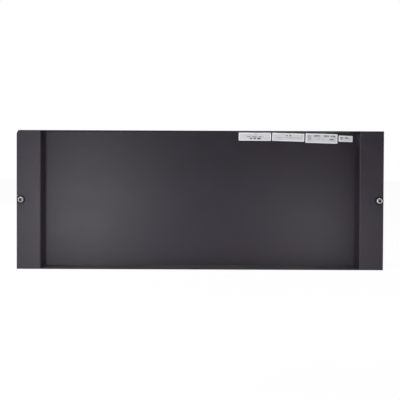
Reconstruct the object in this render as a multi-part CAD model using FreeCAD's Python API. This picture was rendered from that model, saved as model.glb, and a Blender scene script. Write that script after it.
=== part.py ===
# Recessed blanking panel for a 23-inch rack, five rack units high, with its two rack screws.
# All sizes are in millimetres. X runs across the rack, Z is up and the open front faces -Y.
# The origin is midway between the ears, at half height, in the plane of the ears' back faces.

import FreeCAD, Part
import math
import os

Vector = FreeCAD.Vector

# Folded sheet
panel_width = 584.2  # outer edge to outer edge of the ears
panel_height = 221.5  # five units of 44.45 less the usual gap to the next panel
sheet = 1.2  # thickness of the steel
bend_radius = 0.6  # inside radius of every fold
ear_width = 38.1  # outer edge of an ear to the side wall's face in the recess
step_depth = 25.4  # back of the ears to the back of the pan
ear_corner = 1.0  # rounding of the ears' free corners
nick_width = 3.0  # worn corner of the upper left ear, along its top edge
nick_height = 5.4  # and down its outer edge
nick_bend_in = 1.5  # where the nick's edge bends, in from the ear's outer edge
nick_bend_drop = 1.9  # and down from its top edge

# Rack slots in the ears
slot_inset = 8.75  # outer edge of an ear to the middle of its slot
slot_length = 9.6
slot_width = 6.8

# Pan-head screws, number 10, which lie towards the outer ends of their slots
screw_end_gap = 0.585  # from the thread to the slot's outer end
shank_length = 15.9  # under the head
neck_diameter = 4.2  # plain neck under the head, about as wide as the blank the thread is rolled on
neck_length = 2.5
thread_diameter = 4.83
thread_chamfer = 0.8
head_diameter = 9.1
head_height = 3.0
head_rim = 1.2  # straight part of the head's edge
cross_span = 5.0  # across the cross recess at the top of the head
cross_foot = 1.8  # across it at its bottom
cross_width = 1.6  # width of each wing
cross_depth = 2.2
left_cross_turn = 28.0  # degrees, clockwise from the front
right_cross_turn = 62.0

# Nylon washers under the screw heads, which snap over the thread and turn on the neck
washer_diameter = 13.6
washer_thickness = 1.0
washer_clearance = 0.15  # between the neck and the washer's bore, all round

# Paper labels in a row on the pan, from the right-hand wall towards the middle
label_thickness = 0.12
label_corner = 0.8
label_gap = 2.0  # from one label to the next
label_margin = 4.1  # from the side wall to the first label
small_label_length = 22.9
small_label_height = 10.0
small_label_drop = 4.5  # from the upper fold to the middle of the label's top edge
small_label_turn = 2.2  # degrees, clockwise from the front
tall_label_length = 52.3
tall_label_height = 15.5
tall_label_drop = 1.4
tall_label_turn = 1.6
middle_label_length = 52.6
middle_label_height = 13.2
middle_label_drop = 0.7
middle_label_turn = 1.5
left_label_length = 52.8
left_label_height = 13.0
left_label_drop = 0.15
left_label_turn = 0.2

# Places that follow from the sizes above
recess_half = panel_width / 2 - ear_width
pan_front = step_depth - sheet
fold_radius = bend_radius + sheet / 2  # at mid-thickness
pan_half = recess_half - bend_radius  # where the side folds begin
fold_height = panel_height / 2 - sheet - bend_radius  # where the lips' folds begin
overcut = 5.0  # how far a cutting tool stands clear of the sheet
slot_place = panel_width / 2 - slot_inset  # half the rack's own hole spacing, 566.7
screw_place = slot_place + slot_length / 2 - screw_end_gap - thread_diameter / 2


def folded_section(start, heading, runs, folds):
    """Face across a folded sheet, followed along mid-thickness in the XY plane.

    runs are the straight lengths, and folds the right-angle turns after them: 1 left, -1 right.
    """
    half = sheet / 2
    point = start
    faces = {1: [], -1: []}
    side = Vector(-heading.y, heading.x, 0)
    ends = [Part.LineSegment(point + side * half, point - side * half).toShape()]
    for index, run in enumerate(runs):
        side = Vector(-heading.y, heading.x, 0)
        far = point + heading * run
        for hand in faces:
            shift = side * (hand * half)
            faces[hand].append(Part.LineSegment(point + shift, far + shift).toShape())
        point = far
        if index == len(folds):
            break
        turn = folds[index]
        centre = far + side * (turn * fold_radius)
        middle = (heading - side * turn) * math.sqrt(0.5)
        for hand in faces:
            radius = fold_radius - turn * hand * half
            begin = centre - side * (turn * radius)
            end = centre + heading * radius
            faces[hand].append(Part.Arc(begin, centre + middle * radius, end).toShape())
        point = centre + heading * fold_radius
        heading = side * turn
    side = Vector(-heading.y, heading.x, 0)
    ends.append(Part.LineSegment(point + side * half, point - side * half).toShape())
    edges = faces[1] + faces[-1] + ends
    return Part.Face(Part.Wire(Part.__sortEdges__(edges)))


def side_with_ear():
    """Left ear and side wall with their two folds, over the full height."""
    ear_run = ear_width - sheet / 2 - fold_radius
    wall_run = step_depth - 2 * fold_radius
    start = Vector(-panel_width / 2, -sheet / 2, 0)
    section = folded_section(start, Vector(1, 0, 0), [ear_run, wall_run], [1, -1])
    solid = section.extrude(Vector(0, 0, panel_height))
    solid.translate(Vector(0, 0, -panel_height / 2))
    return solid


def pan_with_lips():
    """Pan between the side folds, with the lips folded forward along its top and bottom edges."""
    lip_run = step_depth + sheet / 2 - fold_radius
    pan_run = 2 * fold_height
    start = Vector(-(panel_height - sheet) / 2, -sheet, 0)
    section = folded_section(start, Vector(0, 1, 0), [lip_run, pan_run, lip_run], [-1, -1])
    solid = section.extrude(Vector(0, 0, 2 * pan_half))
    solid.translate(Vector(0, 0, -pan_half))
    solid.rotate(Vector(0, 0, 0), Vector(0, 1, 0), -90)
    return solid


def closed_lips():
    """Straight part of each lip from one side wall to the other, where its ends are welded."""
    lip_depth = pan_front - bend_radius + sheet
    lips = []
    for low in (-panel_height / 2, panel_height / 2 - sheet):
        corner = Vector(-recess_half, -sheet, low)
        lips.append(Part.makeBox(2 * recess_half, lip_depth, sheet, corner))
    return lips


def rack_slot():
    """Oblong cutter for one ear, centred on the origin and running along X."""
    radius = slot_width / 2
    depth = sheet + 2 * overcut
    reach = (slot_length - slot_width) / 2
    low = -sheet - overcut
    bar = Part.makeBox(2 * reach, depth, slot_width, Vector(-reach, low, -radius))
    ends = [
        Part.makeCylinder(radius, depth, Vector(side * reach, low, 0), Vector(0, 1, 0))
        for side in (-1, 1)
    ]
    return bar.fuse(ends)


def corner_nick():
    """Cutter for the worn corner of the upper left ear."""
    left = -panel_width / 2
    top = panel_height / 2
    low = -sheet - overcut
    outline = [
        Vector(left - overcut, low, top + overcut),
        Vector(left + nick_width, low, top + overcut),
        Vector(left + nick_width, low, top),
        Vector(left + nick_bend_in, low, top - nick_bend_drop),
        Vector(left, low, top - nick_height),
        Vector(left - overcut, low, top - nick_height),
    ]
    face = Part.Face(Part.makePolygon(outline + outline[:1]))
    return face.extrude(Vector(0, sheet + 2 * overcut, 0))


def round_corners(plate, radius):
    """Round the four corners of a plate that lies across Y, at the corners of its own box."""
    box = plate.BoundBox
    corners = []
    for edge in plate.Edges:
        spot = edge.CenterOfMass
        at_side = min(abs(spot.x - box.XMin), abs(spot.x - box.XMax)) < 1e-6
        at_end = min(abs(spot.z - box.ZMin), abs(spot.z - box.ZMax)) < 1e-6
        if at_side and at_end:
            corners.append(edge)
    return plate.makeFillet(radius, corners)


def panel():
    """The whole folded sheet, with its slots."""
    left_side = side_with_ear()
    right_side = left_side.mirror(Vector(0, 0, 0), Vector(1, 0, 0))
    pieces = [left_side, right_side] + closed_lips()
    sheet_metal = pan_with_lips().fuse(pieces).removeSplitter()
    sheet_metal = round_corners(sheet_metal, ear_corner)
    cutters = [corner_nick()]
    for side in (-1, 1):
        slot = rack_slot()
        slot.translate(Vector(side * slot_place, 0, 0))
        cutters.append(slot)
    return sheet_metal.cut(cutters)


def cross_recess():
    """Tapered cross that the driver enters, in the top of a head that is centred on the origin."""
    top = -head_height - overcut
    floor = -head_height + cross_depth
    slope = (cross_span - cross_foot) / 2 / cross_depth
    wide = cross_span / 2 + slope * overcut
    outline = [
        Vector(-wide, top, -cross_width / 2),
        Vector(wide, top, -cross_width / 2),
        Vector(cross_foot / 2, floor, -cross_width / 2),
        Vector(-cross_foot / 2, floor, -cross_width / 2),
    ]
    face = Part.Face(Part.makePolygon(outline + outline[:1]))
    wing = face.extrude(Vector(0, 0, cross_width))
    second = wing.copy()
    second.rotate(Vector(0, 0, 0), Vector(0, 1, 0), 90)
    return wing.fuse(second)


def rack_screw(cross_turn):
    """Pan-head screw along Y, with the underside of its head on the origin."""
    head_radius = head_diameter / 2
    neck_radius = neck_diameter / 2
    thread_radius = thread_diameter / 2
    crown = head_height - head_rim
    crown_radius = (head_radius**2 + crown**2) / (2 * crown)
    half_way = head_radius / 2
    half_drop = crown_radius - math.sqrt(crown_radius**2 - half_way**2)
    top = Vector(0, -head_height, 0)
    shoulder = Vector(head_radius, -head_rim, 0)
    outline = [
        shoulder,
        Vector(head_radius, 0, 0),
        Vector(neck_radius, 0, 0),
        Vector(neck_radius, neck_length, 0),
        Vector(thread_radius, neck_length, 0),
        Vector(thread_radius, shank_length - thread_chamfer, 0),
        Vector(thread_radius - thread_chamfer, shank_length, 0),
        Vector(0, shank_length, 0),
        top,
    ]
    dome = Part.Arc(top, Vector(half_way, half_drop - head_height, 0), shoulder).toShape()
    edges = [dome] + Part.makePolygon(outline).Edges
    profile = Part.Face(Part.Wire(Part.__sortEdges__(edges)))
    screw = profile.revolve(Vector(0, 0, 0), Vector(0, 1, 0), 360)
    screw = screw.cut(cross_recess())
    screw.rotate(Vector(0, 0, 0), Vector(0, 1, 0), cross_turn)
    return screw


def washer():
    """Flat nylon washer that lies against the front of an ear."""
    bore = neck_diameter / 2 + washer_clearance
    along = Vector(0, 1, 0)
    low = Vector(0, -washer_thickness, 0)
    disc = Part.makeCylinder(washer_diameter / 2, washer_thickness, low, along)
    return disc.cut(Part.makeCylinder(bore, washer_thickness, low, along))


def label(length, height, turn):
    """Thin label that lies against the plane y = 0, turned about its own middle."""
    low = Vector(-length / 2, -label_thickness, -height / 2)
    paper = Part.makeBox(length, label_thickness, height, low)
    paper = round_corners(paper, label_corner)
    paper.rotate(Vector(0, 0, 0), Vector(0, 1, 0), turn)
    return paper


def place_fasteners():
    """Both screws, and both washers, each kind as one group of separate solids."""
    screws = []
    washers = []
    for side, turn in ((-1, left_cross_turn), (1, right_cross_turn)):
        screw = rack_screw(turn)
        screw.translate(Vector(side * screw_place, -sheet - washer_thickness, 0))
        screws.append(screw)
        ring = washer()
        ring.translate(Vector(side * screw_place, -sheet, 0))
        washers.append(ring)
    return {"rack_screws": Part.makeCompound(screws), "screw_washers": Part.makeCompound(washers)}


def place_labels():
    """The four labels, laid from the right-hand wall towards the middle of the pan."""
    row = (
        ("small_label", small_label_length, small_label_height, small_label_drop, small_label_turn),
        ("tall_label", tall_label_length, tall_label_height, tall_label_drop, tall_label_turn),
        ("middle_label", middle_label_length, middle_label_height, middle_label_drop, middle_label_turn),
        ("left_label", left_label_length, left_label_height, left_label_drop, left_label_turn),
    )
    placed = {}
    right_end = recess_half - label_margin
    for name, length, height, drop, turn in row:
        paper = label(length, height, turn)
        middle = Vector(right_end - length / 2, pan_front, fold_height - drop - height / 2)
        paper.translate(middle)
        placed[name] = paper
        right_end -= length + label_gap
    return placed


nodes = {"panel": panel()}
nodes.update(place_fasteners())
nodes.update(place_labels())
os.makedirs("parts", exist_ok=True)
for name, shape in nodes.items():
    shape.exportStep("parts/" + name + ".step")
    print(name, "valid", shape.isValid(), "solids", len(shape.Solids), "volume", round(shape.Volume, 2))
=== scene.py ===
# %% [markdown]
# # A recessed blanking panel
# A blanking panel closes an empty space in an equipment rack, so that cooling air goes through the
# machines and not past them. This one is a single folded sheet of steel: a flat pan set back from
# the rack's face, two ears that lie against the rails, and a lip along the top and the bottom that
# keeps the pan stiff. A screw on a nylon washer waits in the slot of each ear, and four paper labels
# are stuck in a row inside the pan.
#
# The solids come from a CAD model and never move. Each step below makes one piece or one finish, in
# the place of its solid, with the small things that a solid leaves out.

# %% Load the solids
import math
import bmesh
import bpy
from mathutils import Matrix, Vector
from mathutils.geometry import delaunay_2d_cdt


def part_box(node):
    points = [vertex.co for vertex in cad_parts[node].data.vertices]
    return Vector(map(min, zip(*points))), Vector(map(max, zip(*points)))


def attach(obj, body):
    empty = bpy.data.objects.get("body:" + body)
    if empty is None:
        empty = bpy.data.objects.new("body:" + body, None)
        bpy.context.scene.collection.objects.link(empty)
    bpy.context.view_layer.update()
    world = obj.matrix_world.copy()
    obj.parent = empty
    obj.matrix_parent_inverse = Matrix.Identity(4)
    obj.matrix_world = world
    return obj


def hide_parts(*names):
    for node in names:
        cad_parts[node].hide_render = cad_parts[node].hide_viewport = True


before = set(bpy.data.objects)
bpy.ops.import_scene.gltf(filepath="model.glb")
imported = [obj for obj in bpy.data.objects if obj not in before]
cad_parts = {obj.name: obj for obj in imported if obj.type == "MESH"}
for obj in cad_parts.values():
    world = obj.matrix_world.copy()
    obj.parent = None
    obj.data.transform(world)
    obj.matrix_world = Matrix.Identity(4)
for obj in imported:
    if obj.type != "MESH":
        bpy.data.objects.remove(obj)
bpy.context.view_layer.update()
mm = 0.001
panel_low, panel_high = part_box("panel")
print("solids:", ", ".join(sorted(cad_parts)))

# %% [markdown]
# ## The camera
# The view is nearly straight on. What tells the distance is the side walls: the nearer the camera,
# the more of their inner faces shows, so the camera stands where both walls come out as wide as they
# should. The lens axis meets the picture above and left of its middle. A small lens shift does that
# without turning the camera, so the upright edges stay almost parallel.

# %% Set up the camera
picture_side = 400  # pixels
camera_distance = 821 * mm  # from the front of the ears
camera_left = 14.7 * mm  # from the middle of the panel
camera_height = 71.7 * mm  # above the middle of the panel
look_down = math.radians(0.75)
picture_roll = math.radians(0.227)  # the right-hand end hangs lower by this
focal_length = 516.3  # pixels
axis_across = 191.0  # pixel where the lens axis meets the picture
axis_down = 161.9


def new_object(name, data, place=Matrix.Identity(4)):
    """A new object in the scene, moved and turned by a matrix."""
    made = bpy.data.objects.new(name, data)
    made.matrix_world = place
    bpy.context.scene.collection.objects.link(made)
    return made


lens = bpy.data.cameras.new("lens")
lens.lens = lens.sensor_width * focal_length / picture_side
lens.shift_x = 0.5 - axis_across / picture_side
lens.shift_y = axis_down / picture_side - 0.5
aim = Matrix.Rotation(-look_down, 4, "X") @ Matrix.Rotation(-picture_roll, 4, "Y")
upright = Matrix.Rotation(math.radians(90), 4, "X")  # tips what faces up or down to face along Y
stand = Matrix.Translation((-camera_left, panel_low.y - camera_distance, camera_height))
bpy.context.scene.camera = new_object("camera", lens, stand @ aim @ upright)
print("lens", round(lens.lens, 1), "mm, shift", round(lens.shift_x, 3), round(lens.shift_y, 3))

# %% [markdown]
# ## Wiring nodes
# Materials are made of nodes, and most lines that make them do the same two things: set an option
# and fill a socket, with a plain value or with a link. Two short helpers do that. The others stand
# for a node or two that come up often, so that each finish below reads as a recipe.

# %% Helpers for nodes
def fill(tree, socket, value):
    """Link an output to a socket, or set the socket to a plain value."""
    if isinstance(value, bpy.types.NodeSocket):
        tree.links.new(value, socket)
    else:
        socket.default_value = value


def add(tree, kind, inputs=None, **options):
    """A new node with its options set and its named or numbered inputs filled."""
    node = tree.nodes.new("ShaderNode" + kind)
    for option, value in options.items():
        setattr(node, option, value)
    for key, value in (inputs or {}).items():
        fill(tree, node.inputs[key], value)
    return node


def calculate(tree, operation, first, second=0.0):
    """Output of a Math node."""
    return add(tree, "Math", {0: first, 1: second}, operation=operation).outputs[0]


def product(tree, first, second):
    """Output of a Math node that multiplies."""
    return calculate(tree, "MULTIPLY", first, second)


def raised(tree, value, mask, amount):
    """Output of a value raised by a mask times an amount."""
    return calculate(tree, "ADD", value, product(tree, mask, amount))


def ramp(tree, value, start, end, low=0.0, high=1.0):
    """Output of a soft step: low where value is at start, high where it is at end."""
    inputs = {"Value": value, "From Min": start, "From Max": end, "To Min": low, "To Max": high}
    return add(tree, "MapRange", inputs, interpolation_type="SMOOTHSTEP").outputs[0]


def noise(tree, place, scale, detail, roughness=0.5):
    """Output of a noise texture."""
    inputs = {"Vector": place, "Scale": scale, "Detail": detail, "Roughness": roughness}
    return add(tree, "TexNoise", inputs).outputs["Fac"]


def tint(tree, factor, first, second):
    """Output of a colour mix from first to second."""
    mixed = add(tree, "Mix", {0: factor, 6: first, 7: second}, data_type="RGBA")
    return mixed.outputs[2]


def stain(tree, colour, mask, tone, strength):
    """Output of a colour with another one over it, up to a strength, where a mask is."""
    return tint(tree, product(tree, mask, strength), colour, tone)


def grey(tone):
    """A neutral colour."""
    return (tone, tone, tone, 1.0)


print("helpers:", [helper.__name__ for helper in (fill, add, calculate, ramp, noise, tint, stain)])

# %% [markdown]
# ## Floor, background and light
# The panel stands on a pale floor in a white room. White by lamps alone would burn out the labels,
# so the floor and the world are white only where the camera or a reflection looks at them, and light
# the panel at a plain level. The floor keeps a share of its own shading, and with it the panel's
# shadow.
#
# Dark satin paint shows its surroundings more than its own colour. Two lamps on the left, a low one
# and a weaker high one, give the broad sheen on that side, and one on the right a fainter sheen. All
# three are a little cool. Two lamps above reach the inner face of the lower lip and the rims of the
# ears. A lamp far out on each side, almost in the plane of the ears, passes over the pan and falls
# on the side wall across from it. One behind is for anyone who walks round the panel, and a grey
# wall behind the camera keeps the middle and the top of the pan dark.

# %% Build the room
room_light = 0.29  # of the world, for everything that isn't seen directly
floor_white = 0.96  # share of plain white in what is seen of the floor
floor_tone = 0.8  # of its own paint
floor_side = 6.0  # metres


def seen_directly(tree):
    """One for rays from the camera, reflections and transmissions, zero for the light itself."""
    path = add(tree, "LightPath").outputs
    mirrored = calculate(tree, "MAXIMUM", path["Is Glossy Ray"], path["Is Transmission Ray"])
    return calculate(tree, "MAXIMUM", path["Is Camera Ray"], mirrored)


def build_world():
    """White to look at, and a soft even light on everything."""
    world = bpy.data.worlds.new("white_room")
    world.use_nodes = True
    tree = world.node_tree
    strength = ramp(tree, seen_directly(tree), 0.0, 1.0, room_light, 1.0)
    sky = tree.nodes["Background"]
    fill(tree, sky.inputs["Color"], grey(1.0))
    fill(tree, sky.inputs["Strength"], strength)
    bpy.context.scene.world = world


def flat_card(name, width, height, place, material):
    """A rectangle in the XY plane, moved and turned by a matrix, that belongs to the room."""
    mesh = bpy.data.meshes.new(name)
    signs = ((-1, -1), (1, -1), (1, 1), (-1, 1))
    corners = [(x * width / 2, y * height / 2, 0) for x, y in signs]
    mesh.from_pydata(corners, [], [(0, 1, 2, 3)])
    mesh.materials.append(material)
    card = new_object(name, mesh, place)
    return card


def new_material(name):
    """An empty material with its output, ready for nodes."""
    material = bpy.data.materials.new(name)
    material.use_nodes = True
    tree = material.node_tree
    tree.nodes.clear()
    output = tree.nodes.new("ShaderNodeOutputMaterial")
    return material, tree, output.inputs["Surface"]


def floor_paint():
    """Pale matt paint that is nearly white to look at and still takes a shadow."""
    material, tree, surface = new_material("pale_floor")
    paint = add(tree, "BsdfDiffuse", {"Color": grey(floor_tone)})
    white = add(tree, "Emission", {"Color": grey(1.0), "Strength": 1.0})
    share = product(tree, seen_directly(tree), floor_white)
    seen = add(tree, "MixShader", {0: share, 1: paint.outputs[0], 2: white.outputs[0]})
    fill(tree, surface, seen.outputs[0])
    return material


build_world()
bpy.context.scene.view_settings.view_transform = "Standard"
floor_place = Matrix.Translation((0, 0, panel_low.z))
flat_card("floor", floor_side, floor_side, floor_place, floor_paint())
print("floor at", round(panel_low.z / mm, 2), "mm")

# %% Hang the lamps
white_light = (1, 1, 1)
cool_light = (0.985, 0.985, 1.03)  # of the three lamps in front
wall_tone = 0.05
wall_width = 4.5  # metres, as all places and sizes in this cell
wall_height = 2.5
wall_middle = (0.0, -1.8, 1.15)


def soft_lamp(name, place, target, width, height, power, colour=white_light):
    """A rectangular lamp that faces a point and isn't seen itself."""
    data = bpy.data.lights.new(name, "AREA")
    data.shape = "RECTANGLE"
    data.size = width
    data.size_y = height
    data.energy = power
    data.color = colour
    facing = (Vector(target) - Vector(place)).to_track_quat("-Z", "Y")
    lamp = new_object(name, data, Matrix.Translation(place) @ facing.to_matrix().to_4x4())
    lamp.visible_camera = False


def wall_paint():
    """Dark grey matt paint."""
    material, tree, surface = new_material("grey_wall")
    fill(tree, surface, add(tree, "BsdfDiffuse", {"Color": grey(wall_tone)}).outputs[0])
    return material


# Each lamp: its place, the point that it faces, its width and height, and its power in watts
soft_lamp("left_lamp", (-0.285, -0.46, -0.09), (-0.10, 0, -0.02), 0.08, 0.036, 1.42, cool_light)
soft_lamp("left_high_lamp", (-0.305, -0.52, 0.085), (-0.20, 0, 0.05), 0.08, 0.08, 0.60, cool_light)
soft_lamp("right_lamp", (0.262, -0.34, -0.092), (0.12, 0, -0.02), 0.06, 0.032, 0.47, cool_light)
soft_lamp("upper_left_lamp", (-0.45, -0.16, 0.90), (-0.13, 0, 0), 0.30, 0.12, 6.5)
soft_lamp("upper_right_lamp", (0.45, -0.16, 0.90), (0.13, 0, 0), 0.30, 0.12, 3.6)
soft_lamp("left_side_lamp", (-1.30, -0.14, 0.0), (0.25, 0.012, 0.03), 0.06, 0.15, 3.4)
soft_lamp("right_side_lamp", (1.30, -0.14, 0.0), (-0.25, 0.012, 0.03), 0.06, 0.15, 3.9)
soft_lamp("back_lamp", (-0.55, 1.00, 0.60), (0, 0.02, 0), 0.60, 0.40, 9.0)

wall_place = Matrix.Translation(wall_middle) @ upright
wall = flat_card("grey_wall", wall_width, wall_height, wall_place, wall_paint())
wall.visible_camera = False
wall.visible_shadow = False

# %% [markdown]
# ## Effects that several finishes share
# Grain, dust, scuffs and rubbed edges are node groups: small machines with named inputs that put
# out a mask or a height. Each is built once and placed in a finish with that finish's own values.
# The same marks could be wired up anew in every material, but then a change to one of them would
# have to be made several times. All of them take the place of a point on the piece, in metres, so
# their scale is a real size.

# %% Helpers for effects
def effect(name, inputs, outputs):
    """A new node group: its tree, the sockets that bring a place and values in, and its results."""
    group = bpy.data.node_groups.new(name, "ShaderNodeTree")
    group.interface.new_socket("Place", in_out="INPUT", socket_type="NodeSocketVector")
    for label in inputs:
        group.interface.new_socket(label, in_out="INPUT", socket_type="NodeSocketFloat")
    for label in outputs:
        group.interface.new_socket(label, in_out="OUTPUT", socket_type="NodeSocketFloat")
    entry = group.nodes.new("NodeGroupInput").outputs
    result = group.nodes.new("NodeGroupOutput").inputs
    return group, entry, result


def place_effect(tree, group, **values):
    """Outputs of a group placed in a material. Words in an input's name are joined with a _."""
    node = tree.nodes.new("ShaderNodeGroup")
    node.node_tree = group
    for label, value in values.items():
        fill(tree, node.inputs[label.replace("_", " ").capitalize()], value)
    return node.outputs


def size_to_scale(tree, size):
    """Scale of a texture whose features are about as large as a size in metres."""
    return calculate(tree, "DIVIDE", 1.0, size)


def patchy(tree, value, share, most, drop, softness):
    """Mask of where a noise is high. Its limit is the most less a drop in step with the share."""
    limit = calculate(tree, "SUBTRACT", most, product(tree, share, drop))
    return ramp(tree, value, limit, calculate(tree, "ADD", limit, softness))


print("helpers:", [helper.__name__ for helper in (effect, place_effect, size_to_scale, patchy)])

# %% Grain and dust
lump_scale = 0.3  # of coarse lumps among the pebbles, to the pebbles' own scale
lump_height = 0.6  # to the pebbles' own height
patch_noise = (0.3, 0.7)  # noise at which a patch begins and is full
speck_radius = (0.02, 0.07)  # least and largest, as shares of a cell
speck_fade = 1.6  # radii at which a speck has faded out
faintest_speck = 0.25


def build_grain():
    """Fine pebbles, and slow patches that make one place a little darker than the next."""
    group, entry, result = effect("fine_grain", ["Grain size", "Patch size"], ["Height", "Patch"])
    scale = size_to_scale(group, entry["Grain size"])
    pebbles = noise(group, entry["Place"], scale, detail=2.0, roughness=0.6)
    lumps = noise(group, entry["Place"], product(group, scale, lump_scale), detail=1.0)
    patches = noise(group, entry["Place"], size_to_scale(group, entry["Patch size"]), detail=3.0)
    fill(group, result["Height"], raised(group, pebbles, lumps, lump_height))
    fill(group, result["Patch"], ramp(group, patches, *patch_noise))
    return group


def build_dust():
    """Specks scattered one to a cell, of which a share is there, each of its own size."""
    group, entry, result = effect("settled_dust", ["Spacing", "Share"], ["Mask"])
    scale = size_to_scale(group, entry["Spacing"])
    cells = add(group, "TexVoronoi", {"Vector": entry["Place"], "Scale": scale}, feature="F1")
    draw = add(group, "SeparateColor", {0: cells.outputs["Color"]}).outputs
    radius = ramp(group, draw["Red"], 0.0, 1.0, *speck_radius)
    outer = product(group, radius, speck_fade)
    speck = ramp(group, cells.outputs["Distance"], radius, outer, 1.0, 0.0)
    there = calculate(group, "LESS_THAN", draw["Green"], entry["Share"])
    faint = ramp(group, draw["Blue"], 0.0, 1.0, faintest_speck, 1.0)
    fill(group, result["Mask"], product(group, product(group, speck, there), faint))
    return group


grain = build_grain()
dust = build_dust()
print("node groups:", grain.name, "and", dust.name)

# %% Scuffs and rubbed edges
streak_ways = ((0.5, 30.0), (-0.9, 45.0))  # turn in radians and stretch of each lot of streaks
streak_noise = (0.66, 0.74)  # noise at which a streak begins and is full
scuff_patch_scale = 0.02  # to the streaks' own scale
rub_scale = 260.0  # of the rubbed spots
rubbed_edge = (0.35, 0.95)  # edge mark of the mesh at which rubbing begins and is full


def build_scuffs():
    """Hair-fine streaks in patches, from handling."""
    group, entry, result = effect("fine_scuffs", ["Width", "Share"], ["Mask"])
    scale = size_to_scale(group, entry["Width"])
    streaks = 0.0
    for turn, stretch in streak_ways:
        way = {"Rotation": (0.0, turn, 0.0), "Scale": (1.0, 1.0, 1.0 / stretch)}
        turned = add(group, "Mapping", {"Vector": entry["Place"], **way}).outputs[0]
        lines = noise(group, turned, scale, detail=1.0)
        streak = ramp(group, lines, *streak_noise)
        streaks = calculate(group, "MAXIMUM", streaks, streak)
    patches = noise(group, entry["Place"], product(group, scale, scuff_patch_scale), detail=2.0)
    area = patchy(group, patches, entry["Share"], most=0.85, drop=0.5, softness=0.1)
    fill(group, result["Mask"], product(group, streaks, area))
    return group


def build_rub():
    """Places along marked edges where the finish has been rubbed thin."""
    group, entry, result = effect("rubbed_edges", ["Edge", "Share"], ["Mask"])
    spots = noise(group, entry["Place"], rub_scale, detail=4.0, roughness=0.7)
    rubbed = patchy(group, spots, entry["Share"], most=0.9, drop=0.6, softness=0.12)
    near = ramp(group, entry["Edge"], *rubbed_edge)
    fill(group, result["Mask"], product(group, rubbed, near))
    return group


scuffs = build_scuffs()
rub = build_rub()
print("node groups:", scuffs.name, "and", rub.name)

# %% [markdown]
# ## The powder coat
# The sheet is sprayed with charcoal powder and baked. Up close the coat is finely pebbled, and from
# a step away that only makes it satin: it has no mirror image, but a broad sheen towards a lamp. The
# pebbles could be modelled, but at half a millimetre they would take far too many faces. So the
# grain is a height for the Bump node, and the roughness is in the middle of its range. Specks of
# dust, a few scuffs and thin spots along the cut edges, which the mesh marks with an attribute, keep
# it from looking new. On those edges the coat is thin and rough, so they look darker than the faces.
# What faces up, such as the inside of the lower lip, is painted paler, as light from above would
# make it, and is a little rougher there. The normal of the surface tells where that is.

# %% Mix the powder coat
coat_dark = (0.0178, 0.0138, 0.0204, 1)
coat_pale = (0.0203, 0.0157, 0.0231, 1)
coat_scuff = (0.12, 0.115, 0.125, 1)
coat_speck = (0.22, 0.21, 0.21, 1)
coat_top_light = (0.037, 0.034, 0.038, 1)  # painted light on what faces up
bare_steel = (0.20, 0.20, 0.21, 1)
coat_rough = (0.485, 0.515)  # of dark and of pale patches
top_light_rough = 0.12  # what the faces that point up add to it
edge_rough = 0.35  # what the cut edges add
edge_thin = (0.6, 0.9)  # edge mark at which they begin to add it, and at which they add it all
scuff_polish = 0.08  # what scuffs take off
top_light_share = (0.7, 1.0)  # of dark and of pale patches
top_light_facing = (0.6, 0.95)  # upward part of the normal where the painted light begins and is full
coat_specular = 0.25


def shade(tree, surface, inputs, height, strength, depth):
    """Wire a Principled shader, with a height as its bump, to a material's output."""
    bump = add(tree, "Bump", {"Strength": strength, "Distance": depth, "Height": height})
    shader = add(tree, "BsdfPrincipled", {**inputs, "Normal": bump.outputs[0]})
    fill(tree, surface, shader.outputs[0])


def powder_coat():
    """Charcoal powder coat over steel."""
    material, tree, surface = new_material("charcoal_powder_coat")
    space = add(tree, "TexCoord").outputs
    place = space["Object"]
    pebbles = place_effect(tree, grain, place=place, grain_size=0.5 * mm, patch_size=45 * mm)
    specks = place_effect(tree, dust, place=place, spacing=9 * mm, share=0.3)["Mask"]
    marks = place_effect(tree, scuffs, place=place, width=0.35 * mm, share=0.35)["Mask"]
    edge = add(tree, "Attribute", attribute_name="cut_edge").outputs["Fac"]
    bare = place_effect(tree, rub, place=place, edge=edge, share=0.35)["Mask"]
    # Painted light: what faces up gets a paler colour, as if lit from above.
    upward = add(tree, "SeparateXYZ", {0: space["Normal"]}).outputs["Z"]
    painted_top_light = ramp(tree, pebbles["Patch"], 0.0, 1.0, *top_light_share)
    painted_top_light = product(tree, ramp(tree, upward, *top_light_facing), painted_top_light)
    colour = tint(tree, pebbles["Patch"], coat_dark, coat_pale)
    colour = stain(tree, colour, marks, coat_scuff, strength=0.25)
    colour = stain(tree, colour, specks, coat_speck, strength=0.35)
    colour = tint(tree, bare, colour, bare_steel)
    colour = tint(tree, painted_top_light, colour, coat_top_light)
    rough = ramp(tree, pebbles["Patch"], 0.0, 1.0, *coat_rough)
    rough = raised(tree, rough, painted_top_light, top_light_rough)
    rough = calculate(tree, "ADD", rough, ramp(tree, edge, *edge_thin, 0.0, edge_rough))
    rough = raised(tree, rough, marks, -scuff_polish)
    inputs = {"Base Color": colour, "Roughness": rough, "Metallic": bare}
    inputs["Specular IOR Level"] = coat_specular
    shade(tree, surface, inputs, pebbles["Height"], strength=0.5, depth=0.08 * mm)
    return material


coat_finish = powder_coat()
print("finish:", coat_finish.name)

# %% [markdown]
# ## The folded panel
# In the workshop this piece is cut flat and then folded, and the mesh is made the same way. The
# blank is an outline filled with triangles, with the slots left open. Cuts across it give it edges
# where the folds come. Then every point moves to its place on the folded sheet, along straight runs
# and quarter-turn arcs, and a second skin on the other side gives it thickness. Pushing a flat plate
# into shape with modifiers would also work, but the folds would then be only about as round and as
# deep as they should be. A filled 2D curve would do for the blank, but it leaves slivers where edges
# lie in one line, and those spoil the border along the rim.

# %% Measure the sheet
sheet = -panel_low.y  # the ears' back faces lie in the plane y = 0
half_width = panel_high.x
half_height = panel_high.z
pan_depth = panel_high.y - sheet / 2  # of the pan's middle plane
ear_width = 38.1 * mm
bend_radius = 0.6 * mm  # inside

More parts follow.
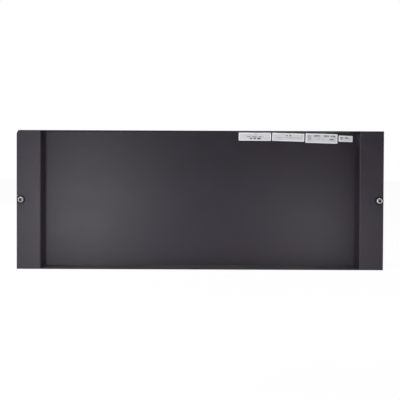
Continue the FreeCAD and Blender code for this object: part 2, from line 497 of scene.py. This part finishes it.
fold_radius = bend_radius + sheet / 2  # at mid-thickness
quarter_turn = fold_radius * math.pi / 2
pan_half = half_width - ear_width - bend_radius
fold_height = half_height - sheet - bend_radius
wall_run = panel_high.y - 2 * fold_radius
ear_run = ear_width + bend_radius - 2 * fold_radius
lip_run = panel_high.y + sheet / 2 - fold_radius
side_end = pan_half + 2 * quarter_turn + wall_run + ear_run  # half the blank's width
lip_end = fold_height + quarter_turn + lip_run  # half its height
print("blank in mm:", round(2 * side_end / mm, 1), "by", round(2 * lip_end / mm, 1))

# %% Draw the blank
ear_corner = 1.0 * mm
corner_steps = 6
nick_points = ((0, 5.4), (1.5, 1.9), (3.0, 0))  # worn corner: in from the side and down, in mm
slot_inset = 8.75 * mm
slot_length = 9.6 * mm
slot_width = 6.8 * mm
slot_steps = 16
leave_holes = 2  # the fill's option for triangles inside the outline and none in its holes
same_point = 1e-7  # points nearer than this are one


def arc(centre, radius, start, end, steps):
    """Points along a circle, from one angle to another in degrees."""
    points = []
    for step in range(steps + 1):
        turn = math.radians(start + (end - start) * step / steps)
        points.append((centre[0] + radius * math.cos(turn), centre[1] + radius * math.sin(turn)))
    return points


def quarter_outline(corner):
    """The blank's edge from the middle of a side to the middle of the lip, round one ear corner."""
    return corner + [(pan_half, half_height), (pan_half, lip_end)]


def blank_outline():
    """The blank's edge all round, with one worn corner at the upper left."""
    centre = (side_end - ear_corner, half_height - ear_corner)
    round_corner = arc(centre, ear_corner, 0, 90, corner_steps)
    worn_corner = [(side_end - x * mm, half_height - z * mm) for x, z in nick_points]
    quarter = quarter_outline(round_corner)
    worn_quarter = quarter_outline(worn_corner)
    upper_left = [(-x, z) for x, z in reversed(worn_quarter)]
    lower_left = [(-x, -z) for x, z in quarter]
    lower_right = [(x, -z) for x, z in reversed(quarter)]
    return quarter + upper_left + lower_left + lower_right


def slot_outline(side):
    """An oblong slot in one ear."""
    middle = side * (side_end - slot_inset)
    reach = (slot_length - slot_width) / 2
    right_end = arc((middle + reach, 0), slot_width / 2, -90, 90, slot_steps)
    left_end = arc((middle - reach, 0), slot_width / 2, 90, 270, slot_steps)
    return right_end + left_end


def cut_blank(outlines):
    """A flat mesh filled between closed outlines."""
    points, edges = [], []
    for outline in outlines:
        first = len(points)
        count = len(outline)
        points += [Vector(point) for point in outline]
        edges += [(first + step, first + (step + 1) % count) for step in range(count)]
    places, _, triangles, *_ = delaunay_2d_cdt(points, edges, [], leave_holes, same_point)
    mesh = bpy.data.meshes.new("blank")
    mesh.from_pydata([place.to_3d() for place in places], [], triangles)
    return mesh


blank = cut_blank([blank_outline(), slot_outline(-1), slot_outline(1)])
print("blank:", len(blank.polygons), "faces")

# %% Follow the folds
sheet_wave = 0.12 * mm  # how far the pan is out of flat
wave_across = 61 * mm  # lengths and shift of its two waves
wave_up = 37 * mm
wave_slant = 140 * mm
wave_shift = 0.7
weld_reach = 8 * mm  # stretch of a lip that widens to close the corner
weld_gap = 0.03 * mm  # what is left between its end and the wall


def follow(distance, runs, turns):
    """Where a strip is after a distance: out along it, forward of the pan, and its heading."""
    out, forward, heading = 0.0, 0.0, 0.0
    for index, run in enumerate(runs):
        step = min(distance, run) if index < len(turns) else distance
        out += step * math.cos(heading)
        forward += step * math.sin(heading)
        distance -= step
        if index == len(turns) or distance <= 0:
            break
        swing = turns[index] * min(distance, quarter_turn) / fold_radius
        radius = turns[index] * fold_radius
        out += radius * (math.sin(heading + swing) - math.sin(heading))
        forward += radius * (math.cos(heading) - math.cos(heading + swing))
        heading += swing
        distance -= abs(swing) * fold_radius
        if distance <= 0:
            break
    return out, forward, heading


def pan_wave(across, up):
    """How far the pan stands forward of its plane: slow waves that fade out towards the folds."""
    fade = max(0.0, 1 - (across / pan_half) ** 2) * max(0.0, 1 - (up / fold_height) ** 2)
    ripple = math.sin(across / wave_across + wave_shift)
    ripple += math.sin(up / wave_up - across / wave_slant)
    return sheet_wave * fade * (2 + ripple) / 4


def folded(across, up, at_side):
    """Middle of the folded sheet at a point of the blank, and the way its front faces there."""
    side = math.copysign(1, across)
    top = math.copysign(1, up)
    if at_side:
        out, forward, heading = follow(abs(across), (pan_half, wall_run, ear_run), (1, -1))
        middle = Vector((side * out, pan_depth - forward, up))
        facing = Vector((-side * math.sin(heading), -math.cos(heading), 0))
    elif abs(up) > fold_height:
        out, forward, heading = follow(abs(up), (fold_height, lip_run), (1,))
        middle = Vector((across, pan_depth - forward, top * out))
        facing = Vector((0, -math.cos(heading), -top * math.sin(heading)))
    else:
        middle = Vector((across, pan_depth - pan_wave(across, up), up))
        facing = Vector((0, -1, 0))
    return middle, facing


def close_corner(point):
    """A point of a lip, moved sideways near the lip's end so that it meets the side wall."""
    near = max(0.0, 1 - (pan_half - abs(point.x)) / weld_reach)
    inward = min(max(pan_depth - sheet / 2 - point.y, 0.0), bend_radius)
    wall_fold = math.sqrt(bend_radius**2 - (bend_radius - inward) ** 2)
    point.x += math.copysign(near * near * (wall_fold - weld_gap), point.x)
    return point


ear_edge, _ = folded(side_end, 0, True)
print("folded, the ear ends", round(ear_edge.x / mm, 2), "mm from the middle")

# %% Score the blank
fold_steps = 10  # facets in a quarter turn
grid_step = 18 * mm  # between cuts across the flats
edge_band = 0.6 * mm  # border beside every cut edge
on_line = 1e-6  # points nearer to a line than this lie on it


def grid_lines(end):
    """Distances from the middle of a plain grid over the flats."""
    return [grid_step * count for count in range(int(end / grid_step) + 1)]


def fold_lines(start):
    """Distances from the middle of close cuts over one fold."""
    return [start + quarter_turn * step / fold_steps for step in range(fold_steps + 1)]


def score(work, distances, direction, reach):
    """Cut the flat mesh along lines on both sides of its middle, but no face beyond a reach."""
    for distance in [-distance for distance in distances] + distances:
        faces = [face for face in work.faces if abs(face.calc_center_median().x) < reach]
        edges = dict.fromkeys(edge for face in faces for edge in face.edges)
        points = dict.fromkeys(point for face in faces for point in face.verts)
        parts = [*points, *edges, *faces]
        line = Vector(direction) * distance
        bmesh.ops.bisect_plane(
            work, geom=parts, dist=same_point, plane_co=line, plane_no=direction
        )


def at_lip_end(vert):
    """Whether a point of the blank lies on a line beside the lips' flaps."""
    return abs(abs(vert.co.x) - pan_half) < on_line


def tear(flat):
    """Part each lip's flap from the side strips beside it, and return the points of the tear."""
    torn = []
    for edge in flat.edges:
        along_side = all(at_lip_end(vert) for vert in edge.verts)
        past_fold = all(abs(vert.co.y) > fold_height - on_line for vert in edge.verts)
        if along_side and past_fold and not edge.is_boundary:
            torn.append(edge)
    bmesh.ops.split_edges(flat, edges=torn)
    return [vert for vert in flat.verts if at_lip_end(vert) and vert.is_boundary]


def score_blank(mesh):
    """The blank with a border along its edge and with cuts over its folds and flats."""
    flat = bmesh.new()
    flat.from_mesh(mesh)
    bmesh.ops.remove_doubles(flat, verts=flat.verts, dist=same_point)
    faces = flat.faces[:]
    bmesh.ops.inset_region(
        flat, faces=faces, thickness=edge_band, use_boundary=True, use_even_offset=True
    )
    ear_fold = pan_half + quarter_turn + wall_run
    upright_lines = grid_lines(side_end) + fold_lines(pan_half) + fold_lines(ear_fold)
    score(flat, upright_lines, (1, 0, 0), side_end)
    score(flat, grid_lines(fold_height), (0, 1, 0), side_end)
    score(flat, fold_lines(fold_height), (0, 1, 0), pan_half)
    return flat


scored = score_blank(blank)
bpy.data.meshes.remove(blank)
print("scored blank:", len(scored.faces), "faces")

# %% Fold the blank
sharp_angle = math.radians(50)


def made_mesh(name, work):
    """A mesh from what a work mesh holds, which is then freed."""
    mesh = bpy.data.meshes.new(name)
    work.to_mesh(mesh)
    work.free()
    return mesh


def fold_sheet(flat):
    """The folded sheet as a closed mesh, with its cut edges marked."""
    torn = tear(flat)
    rim_edges = [edge for edge in flat.edges if edge.is_boundary]
    rim = {vert for edge in rim_edges for vert in edge.verts}
    made = bmesh.new()
    edge_mark = made.verts.layers.float.new("cut_edge")
    rounding = made.edges.layers.float.new("bevel_weight_edge")
    front, back = {}, {}
    for vert in flat.verts:
        at_side = any(abs(face.calc_center_median().x) > pan_half for face in vert.link_faces)
        middle, facing = folded(vert.co.x, vert.co.y, at_side)
        for skin, offset in ((front, sheet / 2), (back, -sheet / 2)):
            point = middle + facing * offset
            if abs(vert.co.y) > fold_height and not at_side:
                point = close_corner(point)
            skin[vert] = made.verts.new(point)
            skin[vert][edge_mark] = 1.0 if vert in rim else 0.0
    for face in flat.faces:
        made.faces.new([front[vert] for vert in face.verts])
        made.faces.new([back[vert] for vert in reversed(face.verts)])
    for edge in rim_edges:
        first, second = edge.verts
        made.faces.new((front[first], front[second], back[second], back[first]))
    bmesh.ops.recalc_face_normals(made, faces=made.faces[:])
    unrounded = {skin[vert] for vert in torn for skin in (front, back)}
    for edge in made.edges:
        sharp = edge.calc_face_angle(0) > sharp_angle
        edge[rounding] = float(sharp and not unrounded.intersection(edge.verts))
        edge.smooth = not sharp or edge[rounding] > 0
    return made_mesh("folded_panel", made)


panel_mesh = fold_sheet(scored)
scored.free()
print("folded sheet:", len(panel_mesh.vertices), "points")

# %% Finish the panel's edges
edge_round = 0.35 * mm  # the coat rounds every cut edge
edge_facets = 3
large_faces_first = 100  # the most weight that large faces can have in the shading


def new_piece(name, mesh, material, node, place=Matrix.Identity(4)):
    """A piece that stands for a solid of the frame."""
    mesh.materials.append(material)
    piece = new_object(name, mesh, place)
    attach(piece, "root")
    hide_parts(node)
    return piece


def soften(piece, width, segments):
    """Round the marked edges, and shade the large flats as flat."""
    piece.data.shade_smooth()
    bevel = piece.modifiers.new("rounded_edges", "BEVEL")
    bevel.width = width
    bevel.segments = segments
    bevel.limit_method = "WEIGHT"
    bevel.use_clamp_overlap = False
    flats = piece.modifiers.new("flat_shading", "WEIGHTED_NORMAL")
    flats.weight = large_faces_first
    flats.keep_sharp = True


panel = new_piece("folded_panel", panel_mesh, coat_finish, "panel")
soften(panel, edge_round, edge_facets)
print("panel:", panel.name, "rides on root")

# %% [markdown]
# ## Zinc plate and nylon
# The screws are plated with zinc, a bright metal whose fine grain blurs what it mirrors. Round its
# recess the plate is darkened, for the driver's wear and as painted shade, and the bottom of the
# recess is painted darker still, as shade. Both could be painted on the mesh by hand. Here the
# finish finds the two places by their distance from the axis and their depth under the dome of the
# head.
# These are simple formulas in the screw's own coordinates, and stay right when the head's size
# changes. The washers are black nylon: matt, a little cloudy, and dusty.

# %% Mix the zinc plate
screw_low, screw_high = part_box("rack_screws")
head_radius = (screw_high.z - screw_low.z) / 2
head_height = 3.0 * mm
head_rim = 1.2 * mm  # straight part of the head's edge
crown = head_height - head_rim
crown_radius = (head_radius**2 + crown**2) / (2 * crown)
recess_span = 5.0 * mm  # across the driver's recess at the top of the head

zinc_dark = (0.27, 0.27, 0.285, 1)
zinc_pale = (0.35, 0.35, 0.36, 1)
zinc_scuff = (0.46, 0.46, 0.47, 1)
# dark plate round the recess: wear from the driver and painted shade
zinc_worn_and_shaded = (0.07, 0.07, 0.074, 1)
# painted shade in the bottom of the recess
recess_shade_black = (0.020, 0.019, 0.018, 1)
zinc_rough = (0.44, 0.54)  # of dark and of pale patches
recess_shade_rough = 0.35  # what the painted shade adds to it
recess_shade_cover = 0.9  # of the metal, taken away where the painted shade is full
recess_shade_depth = (0.03 * mm, 0.3 * mm)  # under the dome, where the painted shade begins and is full
wear_and_shade_reach = (2.2 * mm, 3.1 * mm)  # from the axis, where the wear and painted shade are strongest and end
wear_and_shade_strength = 0.85
recess_reach = 0.65 * recess_span  # from the axis, past all wear and painted shade
head_only = -0.4 * mm  # wear and painted shade stay in front of this


def zinc_plate():
    """Bright zinc over steel, with painted shade in the driver's recess."""
    material, tree, surface = new_material("bright_zinc_plate")
    place = add(tree, "TexCoord").outputs["Object"]
    at = add(tree, "SeparateXYZ", {0: place}).outputs
    across = calculate(tree, "POWER", at["X"], 2.0)
    upward = calculate(tree, "POWER", at["Z"], 2.0)
    reach = calculate(tree, "SQRT", calculate(tree, "ADD", across, upward))
    fall = calculate(tree, "DIVIDE", calculate(tree, "POWER", reach, 2.0), 2 * crown_radius)
    depth = calculate(tree, "SUBTRACT", calculate(tree, "ADD", at["Y"], head_height), fall)
    in_head = calculate(tree, "LESS_THAN", at["Y"], head_only)
    near_axis = calculate(tree, "LESS_THAN", reach, recess_reach)
    inside = product(tree, in_head, near_axis)
    # Painted shade: darker the deeper a point lies under the dome, near the axis.
    recess_shade = product(tree, inside, ramp(tree, depth, *recess_shade_depth))
    # Wear and painted shade: a dark patch round and inside the recess.
    worn_and_shaded = product(tree, inside, ramp(tree, reach, *wear_and_shade_reach, wear_and_shade_strength, 0.0))
    crystals = place_effect(tree, grain, place=place, grain_size=0.18 * mm, patch_size=2.5 * mm)
    marks = place_effect(tree, scuffs, place=place, width=0.08 * mm, share=0.7)["Mask"]
    colour = tint(tree, crystals["Patch"], zinc_dark, zinc_pale)
    colour = tint(tree, marks, colour, zinc_scuff)
    colour = tint(tree, worn_and_shaded, colour, zinc_worn_and_shaded)
    colour = tint(tree, recess_shade, colour, recess_shade_black)
    rough = ramp(tree, crystals["Patch"], 0.0, 1.0, *zinc_rough)
    rough = raised(tree, rough, recess_shade, recess_shade_rough)
    metal = raised(tree, 1.0, recess_shade, -recess_shade_cover)
    inputs = {"Base Color": colour, "Roughness": rough, "Metallic": metal}
    shade(tree, surface, inputs, crystals["Height"], strength=0.25, depth=0.01 * mm)
    return material


zinc_finish = zinc_plate()
print("finish:", zinc_finish.name)

# %% Mix the nylon
nylon_dark = (0.006, 0.006, 0.007, 1)
nylon_pale = (0.010, 0.010, 0.011, 1)
nylon_speck = (0.15, 0.145, 0.14, 1)
nylon_rough = (0.66, 0.76)  # of dark and of pale clouds
nylon_specular = 0.15


def black_nylon():
    """Matt black nylon with some dust."""
    material, tree, surface = new_material("black_nylon")
    place = add(tree, "TexCoord").outputs["Object"]
    cloud = place_effect(tree, grain, place=place, grain_size=0.3 * mm, patch_size=3 * mm)
    specks = place_effect(tree, dust, place=place, spacing=1.6 * mm, share=0.5)["Mask"]
    colour = tint(tree, cloud["Patch"], nylon_dark, nylon_pale)
    colour = stain(tree, colour, specks, nylon_speck, strength=0.25)
    rough = ramp(tree, cloud["Patch"], 0.0, 1.0, *nylon_rough)
    inputs = {"Base Color": colour, "Roughness": rough, "Specular IOR Level": nylon_specular}
    shade(tree, surface, inputs, cloud["Height"], strength=0.3, depth=0.02 * mm)
    return material


nylon_finish = black_nylon()
print("finish:", nylon_finish.name)

# %% [markdown]
# ## The rack screws
# A number 10 pan-head screw waits in each ear. Its body is turned: rings of points about the axis,
# from the dome of the head to the tip, joined by faces. The thread is rings too, but there the
# radius depends on the angle, so that the crest climbs by one pitch in each turn. The cross recess
# is cut last by Boolean modifiers, with tapered wings and a cone like the driver's own tip. A
# cylinder with a striped bump would be cheaper, but the thread shows against the light from behind.

# %% Rings of points
turn_steps = 56  # points in a ring


def ring(along, radius):
    """Points about the Y axis, or one point on it. The radius may be a function of the angle."""
    if radius == 0:
        return [(0, along, 0)]
    points = []
    for step in range(turn_steps):
        angle = 2 * math.pi * step / turn_steps
        reach = radius(angle) if callable(radius) else radius
        points.append((reach * math.cos(angle), along, reach * math.sin(angle)))
    return points


def skin_rings(name, rings, closed=False):
    """A mesh over rings of points, each joined to the next, and if closed the last to the first."""
    work = bmesh.new()
    made = [[work.verts.new(point) for point in points] for points in rings]
    pairs = list(zip(made, made[1:])) + ([(made[-1], made[0])] if closed else [])
    for first, second in pairs:
        for step in range(turn_steps):
            after = step + 1
            corners = [first[step % len(first)], first[after % len(first)]]
            corners += [second[after % len(second)], second[step % len(second)]]
            work.faces.new(list(dict.fromkeys(corners)))
    bmesh.ops.recalc_face_normals(work, faces=work.faces[:])
    return made_mesh(name, work)


def rounded(first, corner, last, steps):
    """Points of a smooth turn from one point to another, drawn towards a corner."""
    points = []
    for step in range(steps + 1):
        share = step / steps
        weights = ((1 - share) ** 2, 2 * share * (1 - share), share**2)
        pulls = list(zip(weights, (first, corner, last)))
        points.append([sum(weight * point[axis] for weight, point in pulls) for axis in (0, 1)])
    return points


print("a ring has", len(ring(0, head_radius)), "points")

# %% Turn the screws
screw_place = screw_high.x - head_radius
head_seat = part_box("screw_washers")[0].y  # a head rests on its washer
shank_length = screw_high.y - head_seat
dome_share = 0.95  # of the head's radius, up to where its shoulder begins
dome_steps = 10
shoulder_run = 0.35 * mm
shoulder_steps = 5
seat_round = 0.2 * mm  # under the head's rim and at the neck
rim_steps = 3
neck_steps = 4
neck_radius = 2.1 * mm
neck_length = 2.5 * mm
thread_pitch = 0.794 * mm
crest_radius = 2.415 * mm
root_radius = 1.99 * mm
crest_end = 0.125  # of half a pitch from the middle of the crest
root_start = 0.75
tip_chamfer = 0.8 * mm
rings_per_pitch = 12


def dome_height(reach):
    """Distance along the axis of the head's dome, at a distance from the axis."""
    return crown_radius - math.sqrt(crown_radius**2 - reach**2) - head_height


def head_outline():
    """Distance along and radius of the head's rings, from the top of the dome to the neck."""
    reaches = [dome_share * head_radius * step / dome_steps for step in range(dome_steps + 1)]
    dome = [(dome_height(reach), reach) for reach in reaches]
    rim = dome_height(head_radius)
    rim_end = (rim + shoulder_run, head_radius)
    shoulder = rounded(dome[-1], (rim, head_radius), rim_end, shoulder_steps)
    under_rim = (0, head_radius - seat_round)
    edge = rounded((-seat_round, head_radius), (0, head_radius), under_rim, rim_steps)
    beside_neck = (0, neck_radius + seat_round)
    fillet = rounded(beside_neck, (0, neck_radius), (seat_round, neck_radius), neck_steps)
    return dome[:-1] + shoulder + edge + fillet


def thread_radius(along):
    """Radius of the thread at a distance under the head, as a function of the angle."""
    started = min(1.0, (along - neck_length) / thread_pitch)
    most = crest_radius - max(0.0, along - (shank_length - tip_chamfer))

    def radius(angle):
        phase = (along / thread_pitch + angle / (2 * math.pi)) % 1
        off_crest = abs(2 * phase - 1)
        height = min(1.0, max(0.0, (root_start - off_crest) / (root_start - crest_end)))
        cut = root_radius + height * (crest_radius - root_radius)
        return min(most, neck_radius + started * (cut - neck_radius))

    return radius


def screw_body():
    """The whole screw without its recess, along Y, with the underside of its head on the origin."""
    rings = [ring(along, radius) for along, radius in head_outline()]
    rings.append(ring(neck_length, neck_radius))
    count = int((shank_length - neck_length) / thread_pitch * rings_per_pitch)
    for step in range(1, count + 1):
        along = neck_length + (shank_length - neck_length) * step / count
        rings.append(ring(along, thread_radius(along)))
    rings.append(ring(shank_length, 0))
    return skin_rings("rack_screw", rings)


print("turns of thread:", round((shank_length - neck_length) / thread_pitch, 1))

# %% Shape the driver's tip
recess_foot = 1.8 * mm  # across the recess at its bottom
recess_width = 1.6 * mm  # of each wing
recess_depth = 2.2 * mm
cone_top = 1.8 * mm  # radius of the cone between the wings, at the top of the head
cone_foot = 0.5 * mm
cone_point = 0.3 * mm  # length of its blunt end
recess_over = 1.0 * mm  # how far the cutter stands out of the head
cutter_foot = recess_depth - head_height
cutter_top = -head_height - recess_over


def wing_cutter(turn):
    """One pair of wings of the driver's tip: a bar that narrows towards its foot."""
    slope = (recess_span - recess_foot) / 2 / recess_depth
    wide = recess_span / 2 + slope * recess_over
    points = []
    for along, half in ((cutter_top, wide), (cutter_foot, recess_foot / 2)):
        for x, z in ((-half, -1), (half, -1), (half, 1), (-half, 1)):
            points.append((x, along, z * recess_width / 2))
    faces = [(0, 1, 2, 3), (7, 6, 5, 4)]
    faces += [(a, (a + 1) % 4, (a + 1) % 4 + 4, a + 4) for a in range(4)]
    mesh = bpy.data.meshes.new("wing")
    mesh.from_pydata(points, [], faces)
    mesh.transform(Matrix.Rotation(turn, 4, "Y"))
    return mesh


def cone_cutter():
    """The cone of the driver's tip."""
    wide = cone_top + (cone_top - cone_foot) / recess_depth * recess_over
    rings = [ring(cutter_top, 0), ring(cutter_top, wide)]
    rings += [ring(cutter_foot, cone_foot), ring(cutter_foot + cone_point, 0)]
    return skin_rings("cone", rings)


print("the recess leaves", round(-cutter_foot / mm, 2), "mm of the head under it")

# %% Cut the driver's recess
crease_angle = math.radians(35)


def cut_away(mesh, cutters):
    """A mesh with other meshes cut out of it."""
    body = new_object("body", mesh)
    for cutter in cutters:
        work = bmesh.new()
        work.from_mesh(cutter)
        bmesh.ops.recalc_face_normals(work, faces=work.faces[:])
        work.to_mesh(cutter)
        work.free()
        cut = body.modifiers.new("cut", "BOOLEAN")
        cut.operation = "DIFFERENCE"
        cut.solver = "EXACT"
        cut.object = new_object("tool", cutter)
    finished = body.evaluated_get(bpy.context.evaluated_depsgraph_get())
    result = bpy.data.meshes.new_from_object(finished)
    for name in [cut.object.name for cut in body.modifiers] + [body.name]:
        bpy.data.objects.remove(bpy.data.objects[name])
    return result


def rack_screw(name, side, recess_turn):
    """One screw in its ear, with its recess turned by some degrees."""
    turn = math.radians(recess_turn)
    cutters = [wing_cutter(turn), wing_cutter(turn + math.pi / 2), cone_cutter()]
    mesh = cut_away(screw_body(), cutters)
    mesh.shade_smooth()
    mesh.set_sharp_from_angle(angle=crease_angle)
    place = Matrix.Translation((side * screw_place, head_seat, 0))
    return new_piece(name, mesh, zinc_finish, "rack_screws", place)


screws = [rack_screw("left_rack_screw", -1, recess_turn=28)]
screws.append(rack_screw("right_rack_screw", 1, recess_turn=62))
print("faces of the screws:", [len(screw.data.polygons) for screw in screws])

# %% [markdown]
# ## The nylon washers
# A soft washer under each head keeps it from cutting the coat, and snaps over the thread so that the
# screw can't be lost. It could be a short cylinder with a hole cut in it and a bevel on its edges.
# One closed outline turned about the screw's axis gives the hole and the rounded, moulded edges
# at once, with the same rings as the screw.

# %% Turn the washers
washer_low, washer_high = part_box("screw_washers")
washer_radius = (washer_high.z - washer_low.z) / 2
washer_thickness = washer_high.y - washer_low.y
bore_radius = neck_radius + 0.15 * mm
washer_round = 0.25 * mm
washer_steps = 4  # facets in a rounded edge


def washer_outline():
    """Closed section of the washer, as distances along the axis and radii."""
    points = []
    corners = [(0, bore_radius), (0, washer_radius)]
    corners += [(washer_thickness, washer_radius), (washer_thickness, bore_radius)]
    for along, radius in corners:
        inward_along = washer_round if along == 0 else -washer_round
        inward_radius = washer_round if radius == bore_radius else -washer_round
        ends = [(along, radius + inward_radius), (along + inward_along, radius)]
        if (along == 0) == (radius == bore_radius):
            ends.reverse()
        points += rounded(ends[0], (along, radius), ends[1], washer_steps)
    return points


def nylon_washer(name, side):
    """One washer under its screw's head."""
    rings = [ring(along, radius) for along, radius in washer_outline()]
    mesh = skin_rings("washer", rings, closed=True)
    mesh.shade_smooth()
    place = Matrix.Translation((side * screw_place, washer_low.y, 0))
    return new_piece(name, mesh, nylon_finish, "screw_washers", place)


washers = [nylon_washer("left_washer", -1), nylon_washer("right_washer", 1)]
print("washers:", len(washers), "of", round(2 * washer_radius / mm, 1), "mm across")

# %% [markdown]
# ## The paper labels
# Four labels are stuck in a row under the upper lip, each a little crooked. The paper has faint
# fibres, and a white margin is left round a field of the palest grey. The print is only grey bars
# broken up like words, which can't be read and say nothing. A picture could hold them, but it would
# blur up close. So a node group draws one row, and each label places it a few times with its own
# lengths. Every label has its own coordinates, so its rows turn with it.

# %% Build the print
least_word = 0.1 * mm  # a bar with shorter words stays whole
row_seed = 9000.0  # makes rows at different heights break up differently
word_limit = 0.42  # noise above which there is a word
strokes_high = 2.2  # scale of the strokes, to the height of the row
stroke_squeeze = (1.0, 1.0, 0.3)  # draws the strokes out upright
stroke_noise = (0.38, 0.45)  # noise at which a stroke begins and is full


def build_print_row():
    """A row of print: a bar cut into words and strokes, or whole where the word has no length."""
    inputs = ["Across", "Up", "Length", "Height", "Word"]
    group, entry, result = effect("print_row", inputs, ["Mask"])
    at = add(group, "SeparateXYZ", {0: entry["Place"]}).outputs
    across = calculate(group, "SUBTRACT", at["X"], entry["Across"])
    upward = calculate(group, "SUBTRACT", at["Z"], entry["Up"])
    half_length = calculate(group, "DIVIDE", entry["Length"], 2.0)
    half_row = calculate(group, "DIVIDE", entry["Height"], 2.0)
    along = calculate(group, "LESS_THAN", calculate(group, "ABSOLUTE", across), half_length)
    within = calculate(group, "LESS_THAN", calculate(group, "ABSOLUTE", upward), half_row)
    whole = calculate(group, "LESS_THAN", entry["Word"], least_word)
    word_length = calculate(group, "MAXIMUM", entry["Word"], least_word)
    word_count = calculate(group, "DIVIDE", across, word_length)
    words = add(group, "TexNoise", {"Scale": 1.0, "Detail": 0.0}, noise_dimensions="1D")
    fill(group, words.inputs["W"], raised(group, word_count, entry["Up"], row_seed))
    word = calculate(group, "GREATER_THAN", words.outputs["Fac"], word_limit)
    stroke_scale = calculate(group, "DIVIDE", strokes_high, entry["Height"])
    squeezed = add(group, "Mapping", {"Vector": entry["Place"], "Scale": stroke_squeeze})
    strokes = noise(group, squeezed.outputs[0], stroke_scale, detail=1.0)
    stroke = ramp(group, strokes, *stroke_noise)
    cut = calculate(group, "MAXIMUM", whole, product(group, word, stroke))
    fill(group, result["Mask"], product(group, product(group, along, within), cut))
    return group


print_row = build_print_row()
print("node group:", print_row.name)

# %% Mix the label paper
paper_dark = (0.61, 0.615, 0.64, 1)
paper_pale = (0.667, 0.672, 0.688, 1)
paper_speck = (0.30, 0.28, 0.26, 1)
margin_white = (0.85, 0.85, 0.865, 1)
print_grey = (0.035, 0.035, 0.040, 1)
paper_rough = (0.55, 0.68)  # of dark and of pale patches
margin_reach = (1.2 * mm, 1.8 * mm)  # from the edge, where the white margin fades out


def label_paper(name, length, height, rows):
    """Paper with print. A row is its middle, length, height and word length in mm, and strength."""
    material, tree, surface = new_material(name + "_paper")
    place = add(tree, "TexCoord").outputs["Object"]
    at = add(tree, "SeparateXYZ", {0: place}).outputs
    fibres = place_effect(tree, grain, place=place, grain_size=0.25 * mm, patch_size=9 * mm)
    specks = place_effect(tree, dust, place=place, spacing=4 * mm, share=0.3)["Mask"]
    from_end = calculate(tree, "SUBTRACT", length / 2, calculate(tree, "ABSOLUTE", at["X"]))
    from_side = calculate(tree, "SUBTRACT", height / 2, calculate(tree, "ABSOLUTE", at["Z"]))
    from_edge = calculate(tree, "MINIMUM", from_end, from_side)
    colour = tint(tree, fibres["Patch"], paper_dark, paper_pale)
    colour = tint(tree, ramp(tree, from_edge, *margin_reach, 1.0, 0.0), colour, margin_white)
    for across, up, row_length, row_height, word, strength in rows:
        where = {"place": place, "across": across * mm, "up": up * mm}
        size = {"length": row_length * mm, "height": row_height * mm, "word": word * mm}
        mask = place_effect(tree, print_row, **where, **size)["Mask"]
        colour = stain(tree, colour, mask, print_grey, strength)
    colour = stain(tree, colour, specks, paper_speck, strength=0.3)
    rough = ramp(tree, fibres["Patch"], 0.0, 1.0, *paper_rough)
    inputs = {"Base Color": colour, "Roughness": rough}
    shade(tree, surface, inputs, fibres["Height"], strength=0.25, depth=0.02 * mm)
    return material


print("paper from", paper_dark[:3], "to", paper_pale[:3])

# %% Cut the labels
label_corner = 0.8 * mm
label_corner_steps = 5


def label_mesh(name, length, height, thickness):
    """A thin plate with rounded corners, its back on the plane y = 0."""
    outline = []
    for side, top, start in ((1, 1, 0), (-1, 1, 90), (-1, -1, 180), (1, -1, 270)):
        centre = (side * (length / 2 - label_corner), top * (height / 2 - label_corner))
        outline += arc(centre, label_corner, start, start + 90, label_corner_steps)
    work = bmesh.new()
    back = [work.verts.new((x, 0, z)) for x, z in outline]
    front = [work.verts.new((x, -thickness, z)) for x, z in outline]
    work.faces.new(back)
    work.faces.new(front)
    for first in range(len(outline)):
        second = (first + 1) % len(outline)
        work.faces.new((back[first], back[second], front[second], front[first]))
    bmesh.ops.recalc_face_normals(work, faces=work.faces[:])
    rounding = work.edges.layers.float.new("bevel_weight_edge")
    for edge in work.edges:
        edge[rounding] = float(edge.calc_face_angle(0) > sharp_angle)
    return made_mesh(name, work)


print("label corners:", round(label_corner / mm, 1), "mm")

# %% Stick the labels
label_edge = 0.03 * mm
label_facets = 2
whole_bar = 0  # word length of a bar that nothing cuts


def paper_label(name, length, height, turn, rows):
    """One label on the pan, turned clockwise by some degrees, with its print."""
    low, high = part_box(name)
    middle = (low + high) / 2
    mesh = label_mesh(name, length, height, high.y - low.y)
    paper = label_paper(name, length, height, rows)
    place = Matrix.Translation((middle.x, high.y, middle.z))
    place = place @ Matrix.Rotation(math.radians(turn), 4, "Y")
    piece = new_piece("paper_" + name, mesh, paper, name, place)
    soften(piece, label_edge, label_facets)
    return piece


# Each row of print: its middle across and up, length, height and word length in mm, and strength
left_rows = [(1.6, 4.2, 3.2, 1.2, whole_bar, 0.45), (0.5, 0.2, 27, 1.6, 3, 0.8)]
left_rows += [(0.6, -2.9, 18.5, 2.5, 3, 1.0)]
middle_rows = [(-2.3, 2.7, 3.0, 1.8, whole_bar, 0.6), (3.4, 2.7, 2.6, 2.2, whole_bar, 0.85)]
middle_rows += [(-1.6, -0.8, 42, 1.3, 4, 0.35)]
tall_rows = [(5.2, 4.0, 35, 2.3, 11, 0.9), (18, -1.4, 8.5, 1.9, 3, 0.9)]
tall_rows += [(-4.3, -1.4, 16, 1.3, 3, 0.4), (-19.6, 0.8, 5.5, 8.5, whole_bar, 0.36)]
small_rows = [(-2.3, 1.4, 12, 1.9, 4, 0.85), (-7.2, -0.9, 2.4, 1.7, whole_bar, 0.8)]

# Each label: its length and height, its turn in degrees, and its rows of print
labels = [
    paper_label("left_label", 52.8 * mm, 13.0 * mm, 0.2, left_rows),
    paper_label("middle_label", 52.6 * mm, 13.2 * mm, 1.5, middle_rows),
    paper_label("tall_label", 52.3 * mm, 15.5 * mm, 1.6, tall_rows),
    paper_label("small_label", 22.9 * mm, 10.0 * mm, 2.2, small_rows),
]
print("labels:", [label.name for label in labels])
